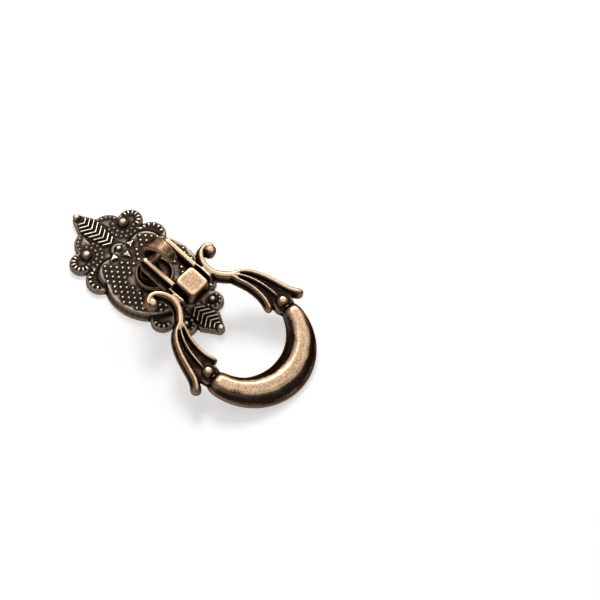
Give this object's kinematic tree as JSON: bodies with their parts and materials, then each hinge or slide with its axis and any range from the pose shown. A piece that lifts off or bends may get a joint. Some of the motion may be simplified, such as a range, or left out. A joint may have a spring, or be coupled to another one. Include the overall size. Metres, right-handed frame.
{
  "type": "drop pull",
  "caption": "Furniture drop pull: a relief back plate, a hooked post and a swinging drop with scrolled legs and a crescent ring.",
  "frame": {"origin": "on the back of the plate, on its centre line, 9 mm below the axis of the post", "axes": "+X across the plate, +Y up the plate, +Z out of the drawer front"},
  "size_m": [0.0452, 0.087, 0.0226],
  "materials": {
    "darkened_brass": "antique, darkened",
    "worn_brass": "antique, worn bright on the high places"
  },
  "bodies": {
    "mount": {"back_plate": "darkened_brass", "hook_post": "worn_brass"},
    "drop": {"drop_handle": "worn_brass"}
  },
  "joints": [
    {"name": "drop_swing", "type": "hinge", "parent": "mount", "child": "drop", "pos_m": [0, 0.0071, 0.0159], "axis": [-1, 0, 0], "range_deg": [0, 208]}
  ]
}
